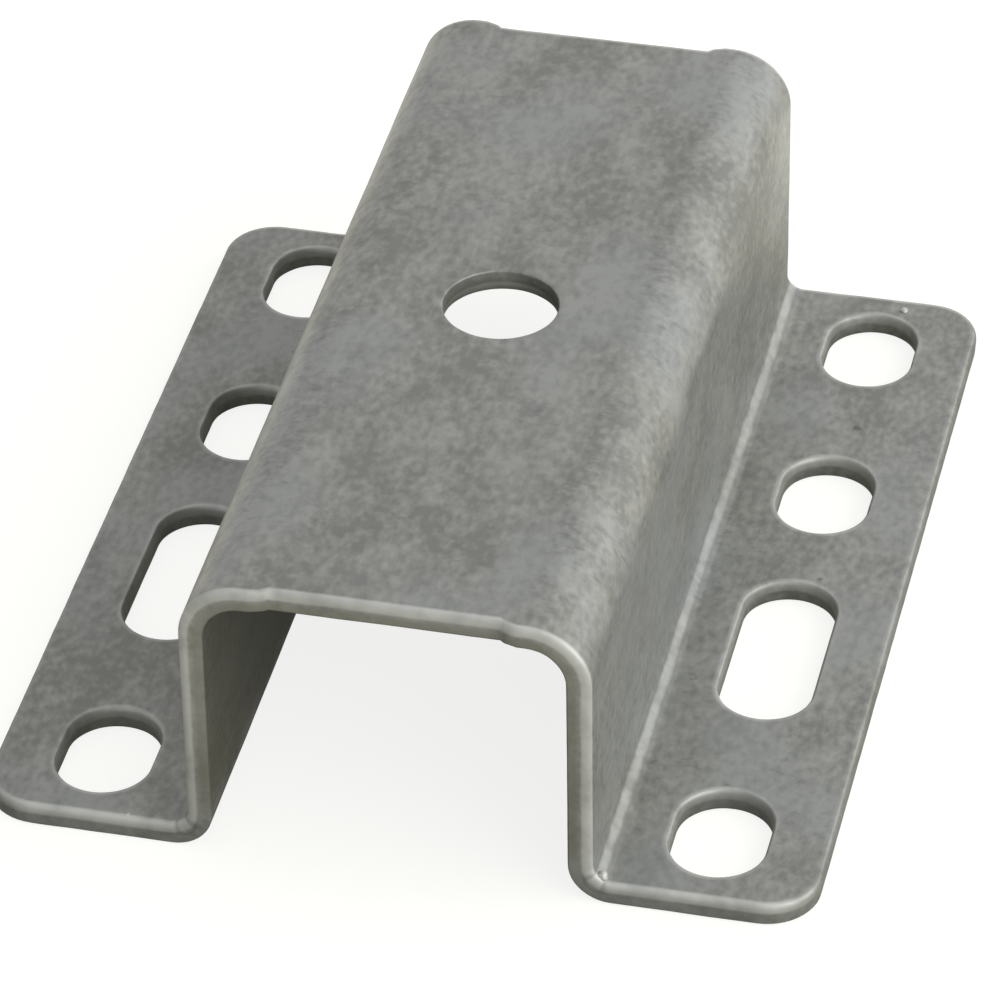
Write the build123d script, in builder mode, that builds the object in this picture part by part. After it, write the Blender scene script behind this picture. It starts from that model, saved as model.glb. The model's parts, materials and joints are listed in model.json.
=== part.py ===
"""Hat-section bracket, folded from one sheet of steel and hot-dip galvanised.

A raised channel straddles a rail, pipe or strut. A wide flange on each side of
it is fastened down through oblong holes, and a round hole in the raised web
takes one bolt. The blank is cut and pierced flat, then folded four times.

Frame: X across the channel, Y along it with the rear end at +Y, and Z up. The
flanges lie on Z = 0, and the origin is under the middle of the bracket.
"""
from build123d import *

import os

# Driving dimensions, in millimetres
sheet = 3.0                      # thickness of the steel
length = 120.0                   # of the blank, along the channel
overall_width = 98.4             # over both flanges
height = 38.4                    # from under the flanges to the top of the web
channel_width = 47.6             # over the outsides of the two walls
web_bend_radius = 4.5            # inside radius of the two folds beside the web
flange_bend_radius = 2.0         # inside radius of the two folds at the flanges
corner_radius = 6.5              # of the four flange corners, seen from above

# Ends of the web, cut a little short of the folds beside it
front_setback = 0.9
rear_setback = 1.1
setback_margin = 1.4             # flat web left between each step and its fold
setback_run = 1.6                # width of the step
setback_blend = 1.4              # radius at both corners of the step

# Piercings: oblong holes in the flanges, and one round hole in the web
row_spacing = 72.8               # between the hole rows of the two flanges
slot_width = 11.0                # of all the oblong holes
short_slot = 15.0                # end to end
long_slot = 26.0                 # end to end
end_margin = 11.75               # from each end to the centre of its nearest hole
long_hole = 46.25                # from the front end to the centre of the long hole
middle_hole = 77.25              # from the front end to the third hole's centre
web_hole_diameter = 13.5         # in the middle of the web

# Sheared edges: drawn in on the side that the punch enters, and nearly sharp
# on the side that it leaves
rolled_edge = 0.6                # radius around the blank, on its upper face
drawn_hole_edge = 0.5            # flange holes from above, the web hole from below
sharp_edge = 0.3

# Worked out from the values above
wall_x = channel_width / 2
edge_x = overall_width / 2
end_y = length / 2
step_x = wall_x - sheet - web_bend_radius - setback_margin - setback_run
tiny = 0.01                      # tolerance for telling edges apart

# The folded section, drawn flat: the line is the sheet's upper and outer face
with BuildLine() as upper_face:
    FilletPolyline(
        (-edge_x, sheet),
        (-wall_x, sheet),
        (-wall_x, height),
        (wall_x, height),
        (wall_x, sheet),
        (edge_x, sheet),
        radius=[
            flange_bend_radius,
            web_bend_radius + sheet,
            web_bend_radius + sheet,
            flange_bend_radius,
        ],
    )


def on_upper_face(edge):
    """True for an edge on the upper and outer face of the folded sheet."""
    middle = edge.position_at(0.5)
    return upper_face.line.distance_to(Vector(middle.X, middle.Z)) < tiny


def on_lower_face(edge):
    """True for an edge on the lower and inner face of the folded sheet."""
    middle = edge.position_at(0.5)
    return abs(upper_face.line.distance_to(Vector(middle.X, middle.Z)) - sheet) < tiny


def is_outline(edge):
    """True for an edge of the blank's outline, on either face of the sheet."""
    middle = edge.position_at(0.5)
    direction = edge.tangent_at(0.5)
    through_sheet = abs(direction.Z) > 1 - tiny and edge.length < sheet + tiny
    along_side = abs(middle.X) > edge_x - tiny
    along_fold = abs(direction.Y) > 1 - tiny and not along_side
    return not through_sheet and not along_fold


with BuildPart() as bracket:
    # Fold the sheet
    with BuildSketch(Plane.XZ) as section:
        with BuildLine():
            add(upper_face.line)
            offset(amount=sheet, side=Side.RIGHT)
        make_face()
    extrude(amount=end_y, both=True)

    # Trim it to the blank's outline, seen from above
    with BuildSketch() as outline:
        with BuildLine():
            Polyline(
                (-edge_x, -end_y),
                (-step_x - setback_run, -end_y),
                (-step_x, front_setback - end_y),
                (step_x, front_setback - end_y),
                (step_x + setback_run, -end_y),
                (edge_x, -end_y),
                (edge_x, end_y),
                (step_x + setback_run, end_y),
                (step_x, end_y - rear_setback),
                (-step_x, end_y - rear_setback),
                (-step_x - setback_run, end_y),
                (-edge_x, end_y),
                close=True,
            )
        make_face()
        steps = outline.vertices().filter_by(lambda v: abs(v.X) < step_x + setback_run + tiny)
        fillet(steps, radius=setback_blend)
        corners = outline.vertices().filter_by(lambda v: abs(v.X) > edge_x - tiny)
        fillet(corners, radius=corner_radius)
    extrude(amount=height, mode=Mode.INTERSECT)

    # Ease the outline's edges on both faces of the sheet
    rim = bracket.edges().filter_by(is_outline)
    upper_rim = rim.filter_by(on_upper_face)
    lower_rim = rim.filter_by(on_lower_face)
    fillet(upper_rim, radius=rolled_edge)
    chamfer(lower_rim, length=sharp_edge)

    # Pierce the flanges
    with BuildSketch() as flange_holes:
        for row_x in (-row_spacing / 2, row_spacing / 2):
            for centre, slot in (
                (end_margin, short_slot),
                (long_hole, long_slot),
                (middle_hole, short_slot),
                (length - end_margin, short_slot),
            ):
                with Locations((row_x, centre - end_y)):
                    SlotOverall(slot, slot_width, rotation=90)
    extrude(amount=sheet, mode=Mode.SUBTRACT)
    rims = bracket.edges(Select.LAST).group_by(Axis.Z)
    chamfer(rims[-1], length=drawn_hole_edge)
    chamfer(rims[0], length=sharp_edge)

    # Pierce the web
    with BuildSketch(Plane.XY.offset(height)):
        Circle(web_hole_diameter / 2)
    extrude(amount=-sheet, mode=Mode.SUBTRACT)
    rims = bracket.edges(Select.LAST).filter_by(GeomType.CIRCLE).group_by(Axis.Z)
    chamfer(rims[-1], length=sharp_edge)
    chamfer(rims[0], length=drawn_hole_edge)

bracket.part.label = "bracket"
os.makedirs("parts", exist_ok=True)
export_step(bracket.part, "parts/bracket.step")
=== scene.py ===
"""The galvanised hat-section bracket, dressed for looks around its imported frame.

The frame gives the true size. The sheet is laid out flat as a fine mesh, with its
holes, its rolled edges and the slight unevenness of a hot-dip coating, and is then
folded to the frame's own section. The zinc stands a little higher in a line along
each flange fold, and a few small nodules of it sit on the sheet's edges.

On the flat sheet, u runs across it from the middle of the web, v along it from the
front end, and w up from the middle of its thickness. Lengths are in metres, and MM
turns the drawing's millimetres into them.
"""
import json
import math
import random

import bmesh
import bpy
from mathutils import Matrix, Vector, noise


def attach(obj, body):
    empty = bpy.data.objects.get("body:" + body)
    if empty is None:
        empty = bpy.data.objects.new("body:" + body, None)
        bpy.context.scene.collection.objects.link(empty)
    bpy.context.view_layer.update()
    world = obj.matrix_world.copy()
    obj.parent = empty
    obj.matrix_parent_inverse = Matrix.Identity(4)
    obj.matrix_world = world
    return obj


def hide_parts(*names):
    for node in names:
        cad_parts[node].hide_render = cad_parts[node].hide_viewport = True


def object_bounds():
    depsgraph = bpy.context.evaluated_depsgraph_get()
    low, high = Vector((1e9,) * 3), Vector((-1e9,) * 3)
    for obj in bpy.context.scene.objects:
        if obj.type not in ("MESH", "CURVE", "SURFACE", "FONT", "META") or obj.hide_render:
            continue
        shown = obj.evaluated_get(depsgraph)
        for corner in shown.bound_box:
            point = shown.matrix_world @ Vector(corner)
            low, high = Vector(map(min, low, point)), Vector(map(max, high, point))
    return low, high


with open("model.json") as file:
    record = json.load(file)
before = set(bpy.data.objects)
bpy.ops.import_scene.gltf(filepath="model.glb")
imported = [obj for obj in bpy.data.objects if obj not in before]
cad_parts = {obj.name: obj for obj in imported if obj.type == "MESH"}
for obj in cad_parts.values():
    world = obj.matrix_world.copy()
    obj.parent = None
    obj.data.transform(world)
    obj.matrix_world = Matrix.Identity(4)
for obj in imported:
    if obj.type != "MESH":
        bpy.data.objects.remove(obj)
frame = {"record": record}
cad_low, cad_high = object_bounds()

MM = 0.001

# The sheet and its folds
SHEET = 3.0 * MM
WEB_FOLD = 4.5 * MM              # inside radius of the folds beside the web
FLANGE_FOLD = 2.0 * MM           # inside radius of the folds at the flanges
CHANNEL = 47.6 * MM              # over the outsides of the walls
CORNER = 6.5 * MM                # radius of the flange corners
SETBACK = {-1: 0.9 * MM, 1: 1.1 * MM}   # how far the web stops short, front and rear
SETBACK_MARGIN = 1.4 * MM        # flat web beside each step
SETBACK_RUN = 1.6 * MM           # width of the step
SETBACK_REACH = 14 * MM          # how far in the mesh rows take up the step
SLOTS = (                        # the holes of a flange from the front, end to end
    ("front_slot", 15 * MM),
    ("long_slot", 26 * MM),
    ("middle_slot", 15 * MM),
    ("rear_slot", 15 * MM),
)

# Sheared edges. The side that the punch enters is drawn in by (inwards, downwards)
OUTLINE_DRAW = (0.5 * MM, 1.0 * MM)
HOLE_DRAW = (0.45 * MM, 1.1 * MM)
SHARP = (0.25 * MM, 0.3 * MM)    # the side that the punch leaves
TORN_RUN = 0.35 * MM             # height over which the drawn part gives way to the torn part
TAPER = 0.1 * MM                 # how far the torn part falls back
TORN_POLISH = 0.2                # how bright the torn part is, where the drawn part is 1
RAGGED = 0.08 * MM               # how uneven the limit between the two parts is
RAGGED_MARGIN = 0.4 * MM         # depth under either face at which that starts
# How far an edge wears back at most, and how burnished and how bright a painted highlight it has where it
# faces along and across; edges that face front and rear are painted brighter than those that face the
# sides
OUTLINE_FINISH = (0.10 * MM, 0.9, 0.1)
HOLE_FINISH = (0.05 * MM, 0.6, 0.3)

# The coating
SWELL = 0.06 * MM                # how much the faces wave in and out
LINE_MIDDLE = 0.55               # of the line of zinc, as a share of the flange fold's arc
LINE_WANDER = 0.04               # how much that share strays
LINE_SPREAD = 1.1 * MM           # from the line's middle to where it has faded
LINE_RISE = 0.10 * MM
LINE_LUMPS = {-1: (68 * MM, 31 * MM), 1: (19.8 * MM, 15.5 * MM, 88 * MM)}   # wider places, as v
LUMP_REACH = 1.2 * MM

# Marks on it, in the frame's millimetres: pits (x, y, z, radius), places on the
# flange where it cracked (x, y, reach), and nodules of zinc (x, y, z, radius)
PITS = ((37.8, 31.5, 3, 0.42), (38.9, 0.5, 3, 0.4), (35.4, -39.8, 3, 0.25), (22.9, -60, 19.5, 0.35))
CRACKED = ((41.5, -37.5, 4.5), (28.5, -37.5, 5.5), (28, -22, 4), (29, 6, 5))
NODULES = (
    (24.75, -58.9, 3.1, 0.8), (-31, -59.15, 2.45, 0.6), (-13.9, -58.65, 37.5, 0.6),
    (14.1, -58.7, 37.65, 0.5), (40.4, -59.1, 2.5, 0.5), (39.2, 57.6, 2.75, 0.5),
)

# The mesh
U_STEPS = (1.0 * MM, 0.65 * MM, 1.1 * MM, 0.5 * MM, 0.9 * MM)   # web, fold, wall, fold, flange
V_STEP = 0.95 * MM
RIM = 1.0 * MM                   # width of the strip of mesh along every sheared edge
BLOCK_BORDERS = (26.5 * MM, 64.75 * MM, 93 * MM)   # between the holes of a flange, as v
WEB_BLOCK = 16 * MM              # from the web hole's middle to the ends of its block
HOLE_RINGS = 7                   # from a block's border in to the rim of its hole
DRAWN_STEPS, SHARP_STEPS = 7, 3  # round the two edges of a sheared face
TINY = 1e-9                      # tolerance for telling the mesh's lines apart

# What follows from the frame and the values above
WIDTH = cad_high.x - cad_low.x
LENGTH = cad_high.y - cad_low.y
HEIGHT = cad_high.z - cad_low.z
FRONT = cad_low.y
MOUNTS = {m["name"]: m for m in frame["record"]["mounts"]}
OPENINGS = {o["name"]: o for o in frame["record"]["physics"]["openings"]}

WALL_X = CHANNEL / 2
WEB_FLAT = WALL_X - SHEET - WEB_FOLD
WEB_ARC = WEB_FOLD + SHEET / 2
FLANGE_ARC = FLANGE_FOLD + SHEET / 2
WALL_FLAT = HEIGHT - 2 * SHEET - WEB_FOLD - FLANGE_FOLD
FLANGE_FLAT = WIDTH / 2 - WALL_X - FLANGE_FOLD

# Where the folds start and end, as distances from the middle of the web
FOLD_1 = WEB_FLAT
FOLD_2 = FOLD_1 + WEB_ARC * math.pi / 2
FOLD_3 = FOLD_2 + WALL_FLAT
FOLD_4 = FOLD_3 + FLANGE_ARC * math.pi / 2
EDGE = FOLD_4 + FLANGE_FLAT


# ---- the sheet's geometry ----
def fold(u, v, w):
    """The folded place of a point of the flat sheet."""
    side = 1 if u >= 0 else -1
    s = abs(u)
    if s <= FOLD_1:
        x, z = s, HEIGHT - SHEET / 2 + w
    elif s <= FOLD_2:
        turn = (s - FOLD_1) / WEB_ARC
        x = WEB_FLAT + (WEB_ARC + w) * math.sin(turn)
        z = HEIGHT - SHEET - WEB_FOLD + (WEB_ARC + w) * math.cos(turn)
    elif s <= FOLD_3:
        x, z = WALL_X - SHEET / 2 + w, HEIGHT - SHEET - WEB_FOLD - (s - FOLD_2)
    elif s <= FOLD_4:
        turn = (s - FOLD_3) / FLANGE_ARC
        x = WALL_X + FLANGE_FOLD - (FLANGE_ARC - w) * math.cos(turn)
        z = SHEET + FLANGE_FOLD - (FLANGE_ARC - w) * math.sin(turn)
    else:
        x, z = WALL_X + FLANGE_FOLD + (s - FOLD_4), SHEET / 2 + w
    return Vector((side * x, FRONT + v, z))


def smooth(t):
    """0 to 1 with no kink at either end."""
    t = min(max(t, 0), 1)
    return t * t * (3 - 2 * t)


def spaced(stops, step):
    """Values that hit every stop, about a step apart."""
    values = [stops[0]]
    for a, b in zip(stops, stops[1:]):
        count = max(1, round((b - a) / step))
        values += [a + (b - a) * k / count for k in range(1, count + 1)]
    return values


def lumps(u, v, size, seed):
    """Smooth noise between about -1 and 1, over the flat sheet."""
    return noise.noise(Vector((u / size, v / size, seed)))


class Hole:
    """An oblong or round hole in the flat sheet, inside its own block of the grid."""

    def __init__(self, u, v, radius, half_straight, rolls, block):
        self.u, self.v, self.radius, self.half = u, v, radius, half_straight
        self.rolls = rolls          # the edges on the sheet's upper and lower face
        self.block = block          # (u low, u high, v low, v high)

    def nearest(self, u, v):
        """Centre of the arc nearest to a point, and the direction from it to the point."""
        dv = min(max(v - self.v, -self.half), self.half)
        centre = (self.u, self.v + dv)
        du, dv = u - centre[0], v - centre[1]
        size = math.hypot(du, dv)
        return centre, (du / size, dv / size)

    def covers(self, u, v):
        """True for a point inside the hole's block."""
        u_low, u_high, v_low, v_high = self.block
        return u_low < u < u_high and v_low < v < v_high


def find_holes():
    """The holes at the places that the record's mounts and openings give."""
    borders = [RIM, *BLOCK_BORDERS, LENGTH - RIM]
    found = []
    for side, name in ((-1, "left"), (1, "right")):
        radius = MOUNTS[name + "_end_slots"]["dims"]["hole_r_mm"] * MM
        ends = sorted((side * FOLD_4, side * (EDGE - RIM)))
        for k, (slot, length) in enumerate(SLOTS):
            low, high = OPENINGS[f"{name}_{slot}"]["box_m"]
            x, y = (low[0] + high[0]) / 2, (low[1] + high[1]) / 2
            u = side * (FOLD_4 + abs(x) - WALL_X - FLANGE_FOLD)
            block = (*ends, borders[k], borders[k + 1])
            found.append(Hole(u, y - FRONT, radius, length / 2 - radius, (HOLE_DRAW, SHARP), block))
    web = MOUNTS["web_hole"]
    v = web["pos_m"][1] - FRONT
    block = (-FOLD_1, FOLD_1, v - WEB_BLOCK, v + WEB_BLOCK)
    found.append(Hole(0, v, web["dims"]["r_mm"] * MM, 0, (SHARP, HOLE_DRAW), block))
    return found


def step_in(u, end):
    """How far the web's end is set back at u."""
    inner = FOLD_1 - SETBACK_MARGIN - SETBACK_RUN
    return SETBACK[end] * (1 - smooth((abs(u) - inner) / SETBACK_RUN))


def rim_profile(top, bottom):
    """Points round a sheared edge: (distance in, height from the sheet's middle, how burnished it is and
    how bright its painted highlight is).

    The punch draws one side in and burnishes it; below that the metal is torn, and
    falls back a little.
    """
    half = SHEET / 2
    from_below = top[1] < bottom[1]
    drawn, left = (bottom, top) if from_below else (top, bottom)
    points = []
    for k in range(DRAWN_STEPS + 1):
        a = math.radians(90 * k / DRAWN_STEPS)
        points.append((drawn[0] * (1 - math.sin(a)), half - drawn[1] * (1 - math.cos(a)), 1.0))
    torn = half - drawn[1] - TORN_RUN
    points.append((0.25 * TAPER, torn, TORN_POLISH))
    points.append((0.7 * TAPER, (torn - half + left[1]) / 2, TORN_POLISH))
    for k in range(SHARP_STEPS + 1):
        a = math.radians(90 * k / SHARP_STEPS)
        height = left[1] * (1 - math.sin(a)) - half
        points.append((TAPER + left[0] * (1 - math.cos(a)), height, TORN_POLISH * math.cos(a)))
    if from_below:
        points = [(inset, -w, polish) for inset, w, polish in reversed(points)]
    return points


# ---- shares from 0 to 1 that a point (u, v, w, polish) has in the material's details ----
def polish_and_highlight_share(point):
    """How burnished a sheared edge is, and how bright its painted highlight is."""
    return point[3]


def bend_share(point):
    """How much a point belongs to the outside of a fold beside the web."""
    soft = 3 * MM
    s = abs(point[0])
    if point[2] <= 0:
        return 0.0
    return smooth((s - FOLD_1 + soft) / soft) * smooth((FOLD_2 + soft - s) / soft)


def crease_share(point):
    """How near a point is to the line of zinc in the hollow of a flange fold."""
    u, v, w = point[:3]
    if w < 0:
        return 0.0
    stray = LINE_WANDER * lumps(u, v, 10 * MM, seed=2.7)
    middle = FOLD_3 + (LINE_MIDDLE + stray) * (FOLD_4 - FOLD_3)
    wider = sum(math.exp(-((v - at) / LUMP_REACH) ** 2) for at in LINE_LUMPS[1 if u > 0 else -1])
    spread = LINE_SPREAD * (1 + 0.15 * lumps(0, v, 4 * MM, seed=6.1) + 0.30 * wider)
    return math.exp(-((abs(u) - middle) / spread) ** 2)


def inside_painted_shade_share(point):
    """How much a point belongs to the inside of the channel, which is painted darker and olive as shade.
    """
    return smooth((FOLD_3 - abs(point[0])) / (2 * MM)) if point[2] < 0 else 0.0


SHARES = {"polish": polish_and_highlight_share, "bend": bend_share, "crease": crease_share, "inner": inside_painted_shade_share}


def coated(u, v, w):
    """The height of a point of the sheet with the unevenness of the coating."""
    swell = SWELL * (0.75 * lumps(u, v, 9 * MM, seed=7.7) + 0.25 * lumps(u, v, 3 * MM, seed=1.3)) - SWELL
    grain = 1 + 0.6 * lumps(u, v, 2.5 * MM, seed=4.4)
    swell += LINE_RISE * crease_share((u, v, w)) ** 2 * grain
    return w + math.copysign(swell, w * swell)


class FlatSheet:
    """Gathers the vertices and faces of the flat sheet."""

    def __init__(self, holes):
        self.holes = holes
        self.points, self.faces = [], []
        stops = [0, FOLD_1, FOLD_2, FOLD_3, FOLD_4, EDGE - RIM]
        half = [0]
        for start, end, step in zip(stops, stops[1:], U_STEPS):
            half += spaced([start, end], step)[1:]
        self.us = [-u for u in reversed(half[1:])] + half
        stops = {RIM, LENGTH - RIM}
        for hole in holes:
            stops |= {hole.block[2], hole.block[3]}
        self.vs = spaced(sorted(stops), V_STEP)

    def add(self, u, v, w, polish=0.0):
        """A new point of the mesh, and its number."""
        self.points.append((u, v, w, polish))
        return len(self.points) - 1

    def place(self, i, j):
        """Where a grid point lies, with the flange corners rounded and the web's ends set back."""
        u, v = self.us[i], self.vs[j]
        side, end = (1 if u > 0 else -1), (1 if v > LENGTH / 2 else -1)
        from_end = (LENGTH - v if end > 0 else v) - RIM
        fade = max(0, 1 - from_end / SETBACK_REACH)
        v -= end * step_in(u, end) * fade
        on_side = i in (0, len(self.us) - 1)
        on_end = j in (0, len(self.vs) - 1)
        reach = CORNER - RIM
        to_side = EDGE - RIM - abs(u)
        if on_end and to_side < reach:
            turn = math.pi / 4 * (1 - to_side / reach)
        elif on_side and from_end < reach:
            turn = math.pi / 4 * (1 + from_end / reach)
        else:
            return u, v
        u = side * (EDGE - CORNER + reach * math.sin(turn))
        inset = CORNER - reach * math.cos(turn)
        return u, (LENGTH - inset if end > 0 else inset)

    def outward(self, i, j):
        """Direction out of the sheet at a point of the outer grid line."""
        u, v = self.place(i, j)
        side, end = (1 if u > 0 else -1), (1 if v > LENGTH / 2 else -1)
        from_end = LENGTH - v if end > 0 else v
        du, dv = abs(u) - (EDGE - CORNER), CORNER - from_end
        if du > 0 and dv > 0:
            size = math.hypot(du, dv)
            return side * du / size, end * dv / size
        if i in (0, len(self.us) - 1):
            return side, 0
        reach = 0.1 * MM
        slope = (step_in(u + reach, end) - step_in(u - reach, end)) / (2 * reach)
        size = math.hypot(1, slope)
        return slope / size, end / size

    def build(self):
        """Both faces of the sheet, the rim round its outline, and its holes."""
        grids = [self.face(w) for w in (SHEET / 2, -SHEET / 2)]
        around = self.loop(0, len(self.us) - 1, 0, len(self.vs) - 1)
        tops, bottoms = ([grid[ij] for ij in around] for grid in grids)
        places = [self.place(*ij) for ij in around]
        ways = [self.outward(*ij) for ij in around]
        self.rim(tops, bottoms, places, ways, (OUTLINE_DRAW, SHARP), OUTLINE_FINISH)
        for hole in self.holes:
            self.hole(hole, grids)

    def face(self, w):
        """One face of the sheet without the holes' blocks: its points by grid place."""
        grid = {}
        for i, u in enumerate(self.us):
            for j, v in enumerate(self.vs):
                if not any(hole.covers(u, v) for hole in self.holes):
                    grid[i, j] = self.add(*self.place(i, j), w)
        for i in range(len(self.us) - 1):
            for j in range(len(self.vs) - 1):
                middle = (self.us[i] + self.us[i + 1]) / 2, (self.vs[j] + self.vs[j + 1]) / 2
                if not any(hole.covers(*middle) for hole in self.holes):
                    self.faces.append((grid[i, j], grid[i + 1, j], grid[i + 1, j + 1], grid[i, j + 1]))
        return grid

    def loop(self, i0, i1, j0, j1):
        """Grid places round a rectangle of the grid, counterclockwise."""
        around = [(i, j0) for i in range(i0, i1)]
        around += [(i1, j) for j in range(j0, j1)]
        around += [(i, j1) for i in range(i1, i0, -1)]
        around += [(i0, j) for j in range(j1, j0, -1)]
        return around

    def hole(self, hole, grids):
        """Rings of mesh from a block's border in to the hole, and the hole's rim."""
        u_low, u_high, v_low, v_high = hole.block
        across = [k for k, u in enumerate(self.us) if u_low - TINY <= u <= u_high + TINY]
        along = [k for k, v in enumerate(self.vs) if v_low - TINY <= v <= v_high + TINY]
        around = self.loop(across[0], across[-1], along[0], along[-1])
        starts = [self.place(*ij) for ij in around]
        ends, ways = [], []
        for u, v in starts:
            (cu, cv), (du, dv) = hole.nearest(u, v)
            reach = hole.radius + RIM
            ends.append((cu + du * reach, cv + dv * reach))
            ways.append((-du, -dv))
        inner = []
        for grid, w in zip(grids, (SHEET / 2, -SHEET / 2)):
            last = [grid[ij] for ij in around]
            for k in range(1, HOLE_RINGS + 1):
                t = k / HOLE_RINGS
                ring = [
                    self.add(a[0] + (b[0] - a[0]) * t, a[1] + (b[1] - a[1]) * t, w)
                    for a, b in zip(starts, ends)
                ]
                self.band(last, ring)
                last = ring
            inner.append(last)
        self.rim(*inner, ends, ways, hole.rolls, HOLE_FINISH)

    def band(self, one, two):
        """Faces between two closed rows of points."""
        count = len(one)
        for k in range(count):
            n = (k + 1) % count
            self.faces.append((one[k], one[n], two[n], two[k]))

    def rim(self, tops, bottoms, places, ways, rolls, finish):
        """The sheared edge: from the upper face over the rim, down and under."""
        wear, polish_and_highlight_along, polish_and_highlight_across = finish
        last = tops
        for inset, w, drawn in rim_profile(*rolls):
            row = []
            for (u, v), (du, dv) in zip(places, ways):
                # Edges that face front or rear get more of the burnish and its painted highlight than
                # edges that face the sides
                polish = drawn * (polish_and_highlight_along * dv * dv + polish_and_highlight_across * du * du)
                worn = 0.5 + 0.35 * lumps(u, v, 5 * MM, seed=3.1) + 0.25 * lumps(u, v, 1.6 * MM, seed=8.3)
                out = RIM - inset - wear * max(worn, 0)
                within = abs(w) < SHEET / 2 - RAGGED_MARGIN
                ragged = RAGGED * lumps(u, v, 2.5 * MM, seed=5.9) if within else 0
                row.append(self.add(u + du * out, v + dv * out, w + ragged, polish))
            self.band(last, row)
            last = row
        self.band(last, bottoms)


# ---- materials ----
def srgb(r, g, b):
    """Linear colour of an sRGB colour given in 0 to 255."""
    def one(c):
        c /= 255
        return c / 12.92 if c <= 0.04045 else ((c + 0.055) / 1.055) ** 2.4
    return (one(r), one(g), one(b), 1)


WHITE = (1, 1, 1, 1)
ZINC_DARK, ZINC_PALE = srgb(108, 109, 104), srgb(139, 140, 134)
ZINC_BLUISH = srgb(124, 127, 130)
OLIVE_PAINTED_SHADE = srgb(94, 93, 74)            # painted shade inside the channel
MARK, PIT = srgb(90, 91, 86), srgb(70, 72, 66)
BURNISHED_AND_HIGHLIGHT = srgb(186, 187, 182)          # sheared edges: burnished metal with a painted highlight
# The line of zinc in a flange fold, painted bright as a highlight, and the painted shade in the fold
# beside it
ZINC_LINE_AND_HIGHLIGHT, PAINTED_SHADE_BESIDE_LINE = srgb(168, 169, 163), srgb(92, 93, 88)
NODULE_DARK, NODULE_PALE = srgb(158, 160, 154), srgb(184, 185, 180)
FLOOR = (0.23, 0.225, 0.18, 1)
FLOOR_MIRRORED = (1, 0.972, 0.91, 1)


class Nodes:
    """Short calls for building the node tree of a material or a world."""

    def __init__(self, owner):
        owner.use_nodes = True
        self.owner = owner
        self.tree = owner.node_tree
        self.tree.nodes.clear()

    def fill(self, socket, value):
        """Link a socket to another one, or set its value."""
        if isinstance(value, bpy.types.NodeSocket):
            self.tree.links.new(value, socket)
        else:
            socket.default_value = value

    def node(self, kind, values=None, **settings):
        """A new node with the given inputs and settings."""
        made = self.tree.nodes.new("ShaderNode" + kind)
        for key, value in settings.items():
            setattr(made, key, value)
        for key, value in (values or {}).items():
            self.fill(made.inputs[key], value)
        return made

    def output(self, shader, kind="OutputMaterial"):
        """Use a shader as the result, and give the finished material or world."""
        self.tree.links.new(shader.outputs[0], self.node(kind).inputs[0])
        return self.owner

    def math(self, operation, a, b=0.0, c=0.0):
        return self.node("Math", {0: a, 1: b, 2: c}, operation=operation).outputs[0]

    def vector(self, operation, a, b=(0, 0, 0)):
        return self.node("VectorMath", {0: a, 1: b}, operation=operation)

    def attribute(self, title):
        """A share that the mesh holds for each point."""
        return self.node("Attribute", attribute_name=title).outputs["Fac"]

    def noise(self, place, size, detail=3.0, roughness=0.5):
        """Cloudy noise whose largest lumps are about size across."""
        values = {"Vector": place, "Scale": 1 / size, "Detail": detail, "Roughness": roughness}
        return self.node("TexNoise", values).outputs["Fac"]

    def away(self, place, point):
        """Distance from a point that is given in the frame's millimetres."""
        return self.vector("DISTANCE", place, tuple(c * MM for c in point)).outputs["Value"]

    def stretched(self, place, first, second):
        """The place with its first two directions scaled, so that a pattern runs one way."""
        return self.vector("MULTIPLY", place, (first, second, 1)).outputs[0]

    def blend(self, *parts):
        """The weighted sum of (weight, value) pairs."""
        total = 0.0
        for weight, value in parts:
            total = self.math("MULTIPLY_ADD", value, weight, total)
        return total

    def ramp(self, value, low, high, to_low=0.0, to_high=1.0):
        """The value carried from one range to another, and held at its ends."""
        values = {"Value": value, "From Min": low, "From Max": high, "To Min": to_low, "To Max": to_high}
        return self.node("MapRange", values, clamp=True).outputs[0]

    def mix(self, factor, a, b):
        """From colour a to colour b by the factor."""
        made = self.node("Mix", data_type="RGBA")
        for key, value in ((0, factor), (6, a), (7, b)):     # the sockets for colours
            self.fill(made.inputs[key], value)
        return made.outputs[2]


def cracks(n, spot, place):
    """Short soft cracks in loose groups, and wherever CRACKED has them."""
    group = n.ramp(n.noise(place, 8 * MM, 2, 0.6), 0.50, 0.64)
    for x, y, reach in CRACKED:
        away = n.away(spot, (x, y, SHEET / MM))
        group = n.math("MAXIMUM", group, n.ramp(away, 0.4 * reach * MM, reach * MM, 1, 0))
    lines = n.ramp(n.noise(n.stretched(spot, 0.85, 1.3), 1.5 * MM, 3, 0.6), 0.54, 0.66)
    return n.math("MULTIPLY", lines, group)


def strokes(n, flat, patch):
    """Short dark strokes drawn round the folds beside the web."""
    lines = n.ramp(n.noise(n.stretched(flat, 80, 130), 1, 3, 0.6), 0.49, 0.64)
    where = n.math("MULTIPLY", n.attribute("bend"), n.ramp(patch, 0.42, 0.60, 1.2, 0.3))
    return n.math("MULTIPLY", lines, where)


def pits(n, spot, grain):
    """Small round pits with uneven borders."""
    total = 0.0
    for x, y, z, radius in PITS:
        near = n.math("MULTIPLY_ADD", grain, 0.8 * MM, n.away(spot, (x, y, z)))
        pit = n.ramp(near, (radius + 0.2) * MM, (radius + 0.6) * MM, 1, 0)
        total = n.math("MAXIMUM", total, pit)
    return total


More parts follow.
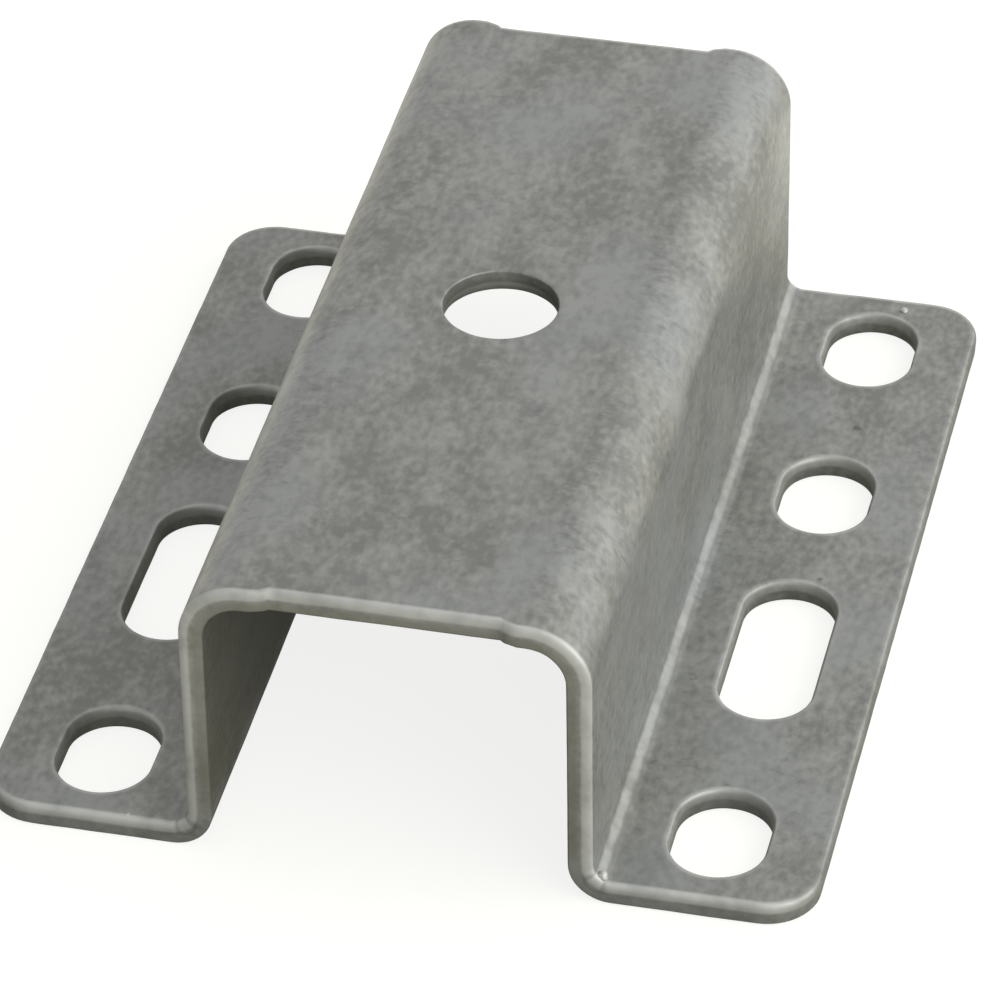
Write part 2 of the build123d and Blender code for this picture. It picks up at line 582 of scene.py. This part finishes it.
def zinc(name):
    """Dull hot-dip zinc: cloudy grey, a soft grain, dark marks, cut edges painted brighter as burnished
    metal with a painted highlight, and a painted highlight with painted shade beside it along the flange
    folds.
    """
    n = Nodes(bpy.data.materials.new(name))
    spot = n.node("TexCoord").outputs["Object"]
    place = n.stretched(spot, 1, 0.62)       # the grain runs a little along the sheet
    flat = n.node("UVMap", uv_map="blank").outputs["UV"]
    polish = n.attribute("polish")

    # Clouds and crystals
    cloud = n.noise(place, 14 * MM, 1)
    patch = n.noise(place, 4.5 * MM, 2, 0.6)
    grain = n.noise(place, 0.95 * MM, 1, 0.5)
    tone = n.blend((0.30, cloud), (0.34, patch), (0.36, grain))
    colour = n.mix(n.ramp(tone, 0.40, 0.60), ZINC_DARK, ZINC_PALE)
    colour = n.mix(n.ramp(cloud, 0.45, 0.65, 0, 0.4), colour, ZINC_BLUISH)
    # Painted shade: the inside of the channel is darkened and tinted olive
    colour = n.mix(n.math("MULTIPLY", n.attribute("inner"), 0.60), colour, OLIVE_PAINTED_SHADE)

    # Dark marks
    marks = n.math("MULTIPLY_ADD", strokes(n, flat, patch), 0.8, cracks(n, spot, place))
    colour = n.mix(n.math("MULTIPLY", marks, 0.45), colour, MARK)
    colour = n.mix(n.math("MULTIPLY", pits(n, spot, grain), 0.75), colour, PIT)

    # Burnished edges, also painted brighter as a highlight, and the line of zinc in the flange folds
    # painted bright as a highlight, with a strip of painted shade beside it
    # The edges' brighter colour is partly the burnished metal's own and partly a painted highlight
    wear = n.math("MULTIPLY", polish, n.ramp(patch, 0.3, 0.6, 0.6, 1.0))
    colour = n.mix(wear, colour, BURNISHED_AND_HIGHLIGHT)
    crease = n.math("MULTIPLY", n.attribute("crease"), n.ramp(patch, 0.35, 0.65, 0.85, 1.1))
    # Painted shade in the fold on both sides of the line, then the line itself painted bright as a
    # highlight
    shade_beside_line = n.math("SUBTRACT", n.ramp(crease, 0.02, 0.18), n.ramp(crease, 0.30, 0.60))
    colour = n.mix(n.math("MULTIPLY", shade_beside_line, 0.40), colour, PAINTED_SHADE_BESIDE_LINE)
    colour = n.mix(n.ramp(crease, 0.40, 0.95, 0, 0.25), colour, ZINC_LINE_AND_HIGHLIGHT)

    rough = n.math("ADD", n.ramp(tone, 0.40, 0.60, 0.37, 0.30), n.math("MULTIPLY", polish, 0.20))
    height = n.blend((0.6, patch), (0.4, grain), (-0.12, marks))
    bump = n.node("Bump", {"Height": height, "Strength": 0.6, "Distance": 0.08 * MM}).outputs[0]
    values = {"Base Color": colour, "Roughness": rough, "Normal": bump, "Metallic": 0.35}
    return n.output(n.node("BsdfPrincipled", values))


def bright_zinc(name):
    """Smoother, brighter zinc, where it ran together and set in nodules."""
    n = Nodes(bpy.data.materials.new(name))
    tone = n.noise(n.node("TexCoord").outputs["Object"], 1.6 * MM, 2, 0.6)
    colour = n.mix(n.ramp(tone, 0.38, 0.62), NODULE_DARK, NODULE_PALE)
    rough = n.ramp(tone, 0.4, 0.6, 0.52, 0.44)
    bump = n.node("Bump", {"Height": tone, "Strength": 0.4, "Distance": 0.05 * MM}).outputs[0]
    values = {"Base Color": colour, "Roughness": rough, "Normal": bump, "Metallic": 0.4}
    return n.output(n.node("BsdfPrincipled", values))


# ---- the pieces ----
def add_object(name, data):
    """A new object in the scene."""
    made = bpy.data.objects.new(name, data)
    bpy.context.scene.collection.objects.link(made)
    return made


def add_piece(name, points, faces, material):
    """A smooth closed piece of the bracket, made of the given mesh."""
    mesh = bpy.data.meshes.new(name)
    mesh.from_pydata(points, [], faces)
    work = bmesh.new()
    work.from_mesh(mesh)
    bmesh.ops.recalc_face_normals(work, faces=work.faces)
    for face in work.faces:
        face.smooth = True
    work.to_mesh(mesh)
    work.free()
    mesh.materials.append(material)
    piece = add_object(name, mesh)
    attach(piece, "root")
    return piece


def make_sheet():
    """The folded sheet, with its flat layout as a UV map and its shares as attributes."""
    sheet = FlatSheet(find_holes())
    sheet.build()
    places = [fold(u, v, coated(u, v, w)) for u, v, w, _ in sheet.points]
    skin = add_piece("bracket_sheet", places, sheet.faces, zinc("galvanised_steel"))
    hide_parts("bracket")
    mesh = skin.data
    layer = mesh.uv_layers.new(name="blank")
    for loop in mesh.loops:
        u, v = sheet.points[loop.vertex_index][:2]
        layer.data[loop.index].uv = (0.5 + u / LENGTH, v / LENGTH)
    for title, share in SHARES.items():
        data = mesh.attributes.new(title, "FLOAT", "POINT").data
        for k, point in enumerate(sheet.points):
            data[k].value = share(point)


def make_nodule(name, place, radii, material):
    """A small lump of zinc, half sunk in the surface."""
    work = bmesh.new()
    bmesh.ops.create_icosphere(work, subdivisions=3, radius=1)
    points = []
    for vertex in work.verts:
        swell = 1 + 0.25 * noise.noise(vertex.co * 1.7 + Vector(place) / MM)
        points.append(Vector(place) + Vector([c * r * swell for c, r in zip(vertex.co, radii)]))
    faces = [[v.index for v in face.verts] for face in work.faces]
    work.free()
    add_piece(name, points, faces, material)


def make_nodules():
    """The nodules, each a little longer one way than another."""
    random.seed(4)
    material = bright_zinc("bright_zinc")
    for number, (x, y, z, size) in enumerate(NODULES):
        radii = [size * MM * random.uniform(0.8, 1.2) for _ in range(3)]
        make_nodule(f"zinc_nodule_{number + 1}", (x * MM, y * MM, z * MM), radii, material)


# ---- the stage ----
FLOOR_HALF = 3.0
FLOOR_DROP = 0.02 * MM           # below the bracket
# How bright the floor shows beside the bracket and beyond a distance from it; its dimmer glow near the
# bracket is a painted shadow
FLOOR_SEEN = (0.83, 0.90, 40 * MM)
FLOOR_IN_METAL = (0.07, 0.82, 35 * MM)
# How bright the room lights the bracket from its left and from its right
ROOM = (0.42, 1.40)
ROOM_LEFT, ROOM_RIGHT = -0.4, 0.8        # directions, as their x

CAMERA_AZIMUTH, CAMERA_ELEVATION, CAMERA_ROLL = (math.radians(a) for a in (13.36, 37.2, -0.92))
CAMERA_AIM = Vector((4.27, -20.03, 24.8)) * MM
CAMERA_DISTANCE = 732.7 * MM
LENS, SENSOR = 225.7, 36                 # in millimetres, as Blender takes them


def make_floor():
    """A white floor to the camera and in reflections, with the bracket's shadow from the lamps on it and a
    painted shadow that dims its glow near the bracket.
    """
    half = FLOOR_HALF
    mesh = bpy.data.meshes.new("floor")
    corners = [(-half, -half, 0), (half, -half, 0), (half, half, 0), (-half, half, 0)]
    mesh.from_pydata(corners, [], [(0, 1, 2, 3)])
    floor = add_object("floor", mesh)
    floor.location.z = cad_low.z - FLOOR_DROP

    n = Nodes(bpy.data.materials.new("floor"))
    ray = n.node("LightPath")
    direct = n.math("MAXIMUM", ray.outputs["Is Camera Ray"], ray.outputs["Is Transmission Ray"])
    outside = n.vector("ABSOLUTE", n.node("NewGeometry").outputs["Position"]).outputs[0]
    outside = n.vector("SUBTRACT", outside, (WIDTH / 2, LENGTH / 2, 1)).outputs[0]
    outside = n.vector("MAXIMUM", outside).outputs[0]
    clear = n.vector("LENGTH", outside).outputs["Value"]     # distance from the bracket
    # The glow fades towards the bracket as a painted shadow, both to the camera and in the metal
    glow = []
    for kind, (near, far, reach) in ((direct, FLOOR_SEEN), (ray.outputs["Is Glossy Ray"], FLOOR_IN_METAL)):
        glow.append(n.math("MULTIPLY", kind, n.ramp(clear, 0, reach, near, far)))
    tint = n.mix(direct, FLOOR_MIRRORED, WHITE)
    light = n.node("Emission", {"Color": tint, "Strength": n.math("ADD", *glow)})
    matt = n.node("BsdfDiffuse", {"Color": FLOOR})
    mesh.materials.append(n.output(n.node("AddShader", {0: matt.outputs[0], 1: light.outputs[0]})))


def make_world():
    """White to the camera and in the metal; for the rest a soft room, lighter to the right."""
    n = Nodes(bpy.data.worlds.new("studio"))
    ray = n.node("LightPath")
    backward = n.node("SeparateXYZ", {0: n.node("NewGeometry").outputs["Incoming"]})
    rightward = n.math("MULTIPLY", backward.outputs["X"], -1)
    room = n.ramp(rightward, ROOM_LEFT, ROOM_RIGHT, *ROOM)
    shown = n.math("MAXIMUM", ray.outputs["Is Camera Ray"], ray.outputs["Is Transmission Ray"])
    shown = n.math("MAXIMUM", shown, ray.outputs["Is Glossy Ray"])
    strength = n.math("MAXIMUM", shown, room)
    back = n.node("Background", {"Color": WHITE, "Strength": strength})
    bpy.context.scene.world = n.output(back, "OutputWorld")


def make_light(name, place, size, power):
    """A soft rectangular lamp that faces the bracket."""
    data = bpy.data.lights.new(name, "AREA")
    data.shape, data.energy = "RECTANGLE", power
    data.size, data.size_y = size
    lamp = add_object(name, data)
    lamp.location = place
    lamp.rotation_mode = "QUATERNION"
    aim = Vector((0, 0, HEIGHT / 2)) - Vector(place)
    lamp.rotation_quaternion = aim.to_track_quat("-Z", "Y")
    lamp.visible_camera = False


def make_camera():
    """The camera stands high in front of the bracket, a little to its right."""
    azimuth, elevation, roll = CAMERA_AZIMUTH, CAMERA_ELEVATION, CAMERA_ROLL
    back = Vector((
        math.sin(azimuth) * math.cos(elevation),
        -math.cos(azimuth) * math.cos(elevation),
        math.sin(elevation),
    ))
    level = Vector((math.cos(azimuth), math.sin(azimuth), 0))
    up = back.cross(level)
    right = level * math.cos(roll) + up * math.sin(roll)
    up = up * math.cos(roll) - level * math.sin(roll)
    data = bpy.data.cameras.new("camera")
    data.lens, data.sensor_width = LENS, SENSOR
    data.clip_start, data.clip_end = 0.01, 20
    camera = add_object("camera", data)
    turn = Matrix((right, up, back)).transposed().to_4x4()
    camera.matrix_world = Matrix.Translation(CAMERA_AIM + back * CAMERA_DISTANCE) @ turn
    bpy.context.scene.camera = camera


make_sheet()
make_nodules()
make_floor()
make_world()
make_light("key", place=(0.52, 0.90, 0.44), size=(1.3, 0.95), power=2.2)
make_light("side", place=(0.72, -0.24, 0.36), size=(1.1, 0.8), power=5.0)
make_camera()
bpy.context.scene.view_settings.view_transform = "Standard"
